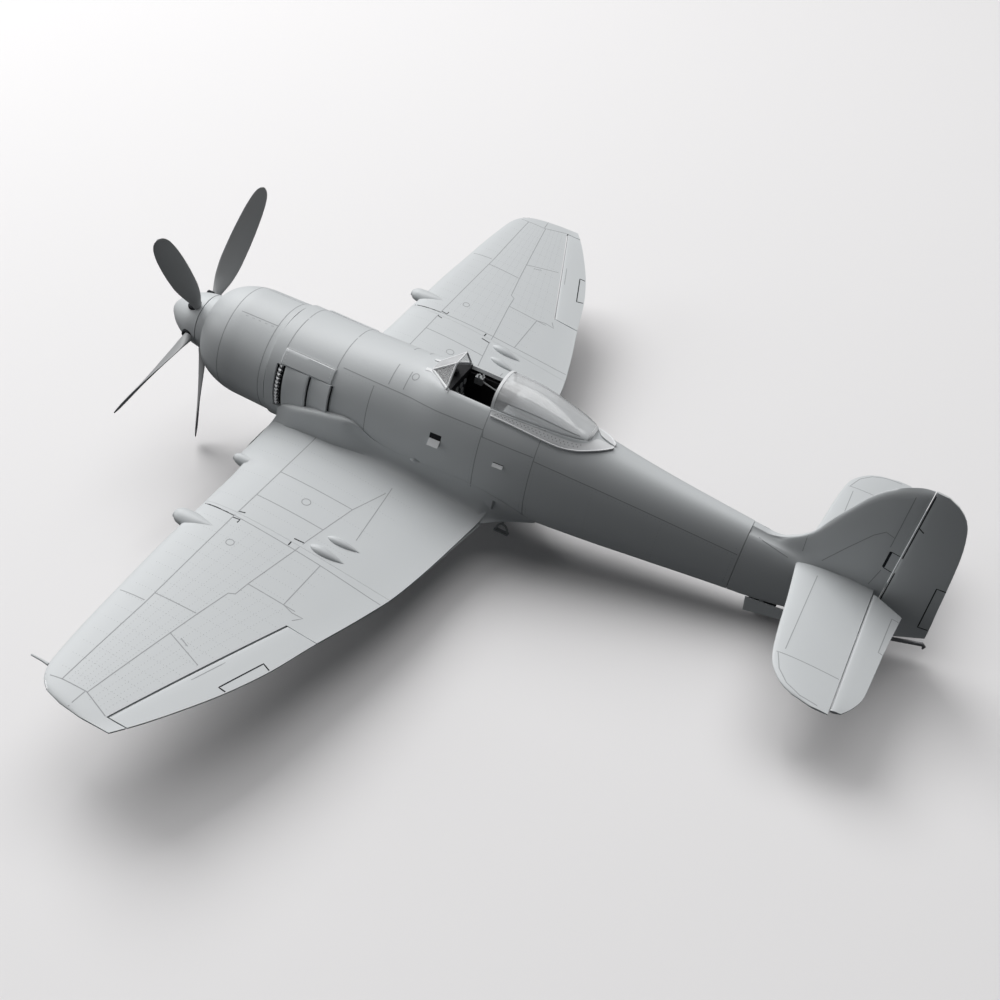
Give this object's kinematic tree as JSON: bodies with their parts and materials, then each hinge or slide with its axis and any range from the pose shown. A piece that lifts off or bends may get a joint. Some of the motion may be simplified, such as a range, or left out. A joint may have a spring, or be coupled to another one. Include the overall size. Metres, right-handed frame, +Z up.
{
  "type": "propeller plane model",
  "caption": "Scale model of a naval single-seat propeller fighter standing tail-down, with folding elliptical wings, sliding canopy and working control surfaces.",
  "frame": {"origin": "centre of the bounding box on the ground plane under the wheels", "axes": "+X towards the port wing tip, -Y towards the nose, +Z up; the model stands 9.83 degrees nose-up"},
  "size_m": [0.3652, 0.3306, 0.1171],
  "materials": {
    "grey_plastic": "satin unpainted grey",
    "blade_plastic": "dark grey",
    "clear_plastic": "clear moulding",
    "dark_plastic": "near black",
    "mid_plastic": "mid grey",
    "tyre_rubber": "matt black",
    "hook_metal": "grey"
  },
  "bodies": {
    "airframe": {"boarding_step": "grey_plastic", "canopy_rail_left": "grey_plastic", "canopy_rail_right": "grey_plastic", "cockpit_tub": "dark_plastic", "control_stick": "dark_plastic", "cowl_ring": "grey_plastic", "engine": "mid_plastic", "exhaust_left": "mid_plastic", "exhaust_right": "mid_plastic", "fuselage_left": "grey_plastic", "fuselage_right": "grey_plastic", "headrest": "mid_plastic", "inner_wing_lower": "grey_plastic", "inner_wing_upper_left": "grey_plastic", "inner_wing_upper_right": "grey_plastic", "instrument_panel": "dark_plastic", "main_door_left": "grey_plastic", "main_door_right": "grey_plastic", "main_leg_left": "grey_plastic", "main_leg_right": "grey_plastic", "seat": "mid_plastic", "tail_door_left": "grey_plastic", "tail_door_right": "grey_plastic", "tail_section": "grey_plastic", "tailplane_left": "grey_plastic", "tailplane_right": "grey_plastic", "windscreen": "clear_plastic"},
    "propeller": {"spinner": "grey_plastic", "spinner_backplate": "grey_plastic", "propeller_shaft": "grey_plastic", "blade_1": "blade_plastic", "blade_2": "blade_plastic", "blade_3": "blade_plastic", "blade_4": "blade_plastic", "blade_5": "blade_plastic"},
    "main_wheel_left": {"main_tyre_left": "tyre_rubber", "wheel_hub_left": "grey_plastic"},
    "main_wheel_right": {"main_tyre_right": "tyre_rubber", "wheel_hub_right": "grey_plastic"},
    "tail_castor": {"tail_strut": "grey_plastic"},
    "tail_wheel": {"tail_wheel": "tyre_rubber"},
    "wing_left": {"outer_wing_upper_left": "grey_plastic", "outer_wing_lower_left": "grey_plastic", "pitot_tube": "grey_plastic"},
    "wing_right": {"outer_wing_upper_right": "grey_plastic", "outer_wing_lower_right": "grey_plastic"},
    "aileron_left": {"aileron_left": "grey_plastic"},
    "aileron_right": {"aileron_right": "grey_plastic"},
    "outer_flap_left": {"outer_flap_left": "grey_plastic"},
    "outer_flap_right": {"outer_flap_right": "grey_plastic"},
    "inner_flap_left": {"inner_flap_left": "grey_plastic"},
    "inner_flap_right": {"inner_flap_right": "grey_plastic"},
    "elevator_left": {"elevator_left": "grey_plastic"},
    "elevator_right": {"elevator_right": "grey_plastic"},
    "rudder": {"rudder": "grey_plastic"},
    "canopy": {"canopy": "clear_plastic"},
    "hook": {"arrestor_hook": "hook_metal"}
  },
  "joints": [
    {"name": "propeller_spin", "type": "hinge", "parent": "airframe", "child": "propeller", "pos_m": [0, -0.1491, 0.0637], "axis": [0, 0.9853, -0.1707], "continuous": true},
    {"name": "main_wheel_left_spin", "type": "hinge", "parent": "airframe", "child": "main_wheel_left", "pos_m": [0.0635, -0.09559, 0.01328], "axis": [1, 0, 0], "continuous": true},
    {"name": "main_wheel_right_spin", "type": "hinge", "parent": "airframe", "child": "main_wheel_right", "pos_m": [-0.0635, -0.09559, 0.01328], "axis": [1, 0, 0], "continuous": true},
    {"name": "tail_castor_swivel", "type": "hinge", "parent": "airframe", "child": "tail_castor", "pos_m": [0, 0.09977, 0.01179], "axis": [0, 0.1707, 0.9853], "range_deg": [-15, 15]},
    {"name": "tail_wheel_spin", "type": "hinge", "parent": "tail_castor", "child": "tail_wheel", "pos_m": [0, 0.1013, 0.00543], "axis": [1, 0, 0], "continuous": true},
    {"name": "wing_fold_left", "type": "hinge", "parent": "airframe", "child": "wing_left", "pos_m": [0.079, -0.06356, 0.03842], "axis": [0, -0.9756, 0.2197], "range_deg": [0, 95]},
    {"name": "wing_fold_right", "type": "hinge", "parent": "airframe", "child": "wing_right", "pos_m": [-0.079, -0.06356, 0.03842], "axis": [0, 0.9756, -0.2197], "range_deg": [0, 95]},
    {"name": "aileron_left", "type": "hinge", "parent": "wing_left", "child": "aileron_left", "pos_m": [0.113, -0.03649, 0.03078], "axis": [0.938, -0.3178, 0.1381], "range_deg": [-20, 20]},
    {"name": "aileron_right", "type": "hinge", "parent": "wing_right", "child": "aileron_right", "pos_m": [-0.113, -0.03649, 0.03078], "axis": [0.938, 0.3178, -0.1381], "range_deg": [-20, 20]},
    {"name": "inner_flap_left", "type": "hinge", "parent": "airframe", "child": "inner_flap_left", "pos_m": [0.0215, -0.03123, 0.01997], "axis": [-0.9882, 0.1173, -0.0982], "range_deg": [0, 50]},
    {"name": "outer_flap_left", "type": "hinge", "parent": "wing_left", "child": "outer_flap_left", "pos_m": [0.0796, -0.03811, 0.02575], "axis": [-0.9878, 0.0882, -0.1282], "range_deg": [0, 50]},
    {"name": "inner_flap_right", "type": "hinge", "parent": "airframe", "child": "inner_flap_right", "pos_m": [-0.0215, -0.03123, 0.01997], "axis": [-0.9882, -0.1173, 0.0982], "range_deg": [0, 50]},
    {"name": "outer_flap_right", "type": "hinge", "parent": "wing_right", "child": "outer_flap_right", "pos_m": [-0.0796, -0.03811, 0.02575], "axis": [-0.9878, -0.0882, 0.1282], "range_deg": [0, 50]},
    {"name": "elevator_left", "type": "hinge", "parent": "airframe", "child": "elevator_left", "pos_m": [0, 0.14183, 0.0271], "axis": [1, 0, 0], "range_deg": [-20, 25]},
    {"name": "elevator_right", "type": "hinge", "parent": "airframe", "child": "elevator_right", "pos_m": [0, 0.14183, 0.0271], "axis": [1, 0, 0], "range_deg": [-20, 25]},
    {"name": "rudder_swing", "type": "hinge", "parent": "airframe", "child": "rudder", "pos_m": [0, 0.14246, 0.01318], "axis": [0, 0.1707, 0.9853], "range_deg": [-25, 25]},
    {"name": "canopy_slide", "type": "slide", "parent": "airframe", "child": "canopy", "axis": [0, -0.9853, 0.1707], "range_m": [0, 0.0177]},
    {"name": "hook_drop", "type": "hinge", "parent": "airframe", "child": "hook", "pos_m": [0, 0.12766, 0.00276], "axis": [-1, 0, 0], "range_deg": [0, 12]}
  ],
  "couplings": [
    {"joint": "wing_fold_right", "follows": "wing_fold_left", "ratio": 1},
    {"joint": "aileron_right", "follows": "aileron_left", "ratio": -1},
    {"joint": "inner_flap_right", "follows": "inner_flap_left", "ratio": 1},
    {"joint": "outer_flap_left", "follows": "inner_flap_left", "ratio": 1},
    {"joint": "outer_flap_right", "follows": "inner_flap_left", "ratio": 1},
    {"joint": "elevator_right", "follows": "elevator_left", "ratio": 1}
  ]
}
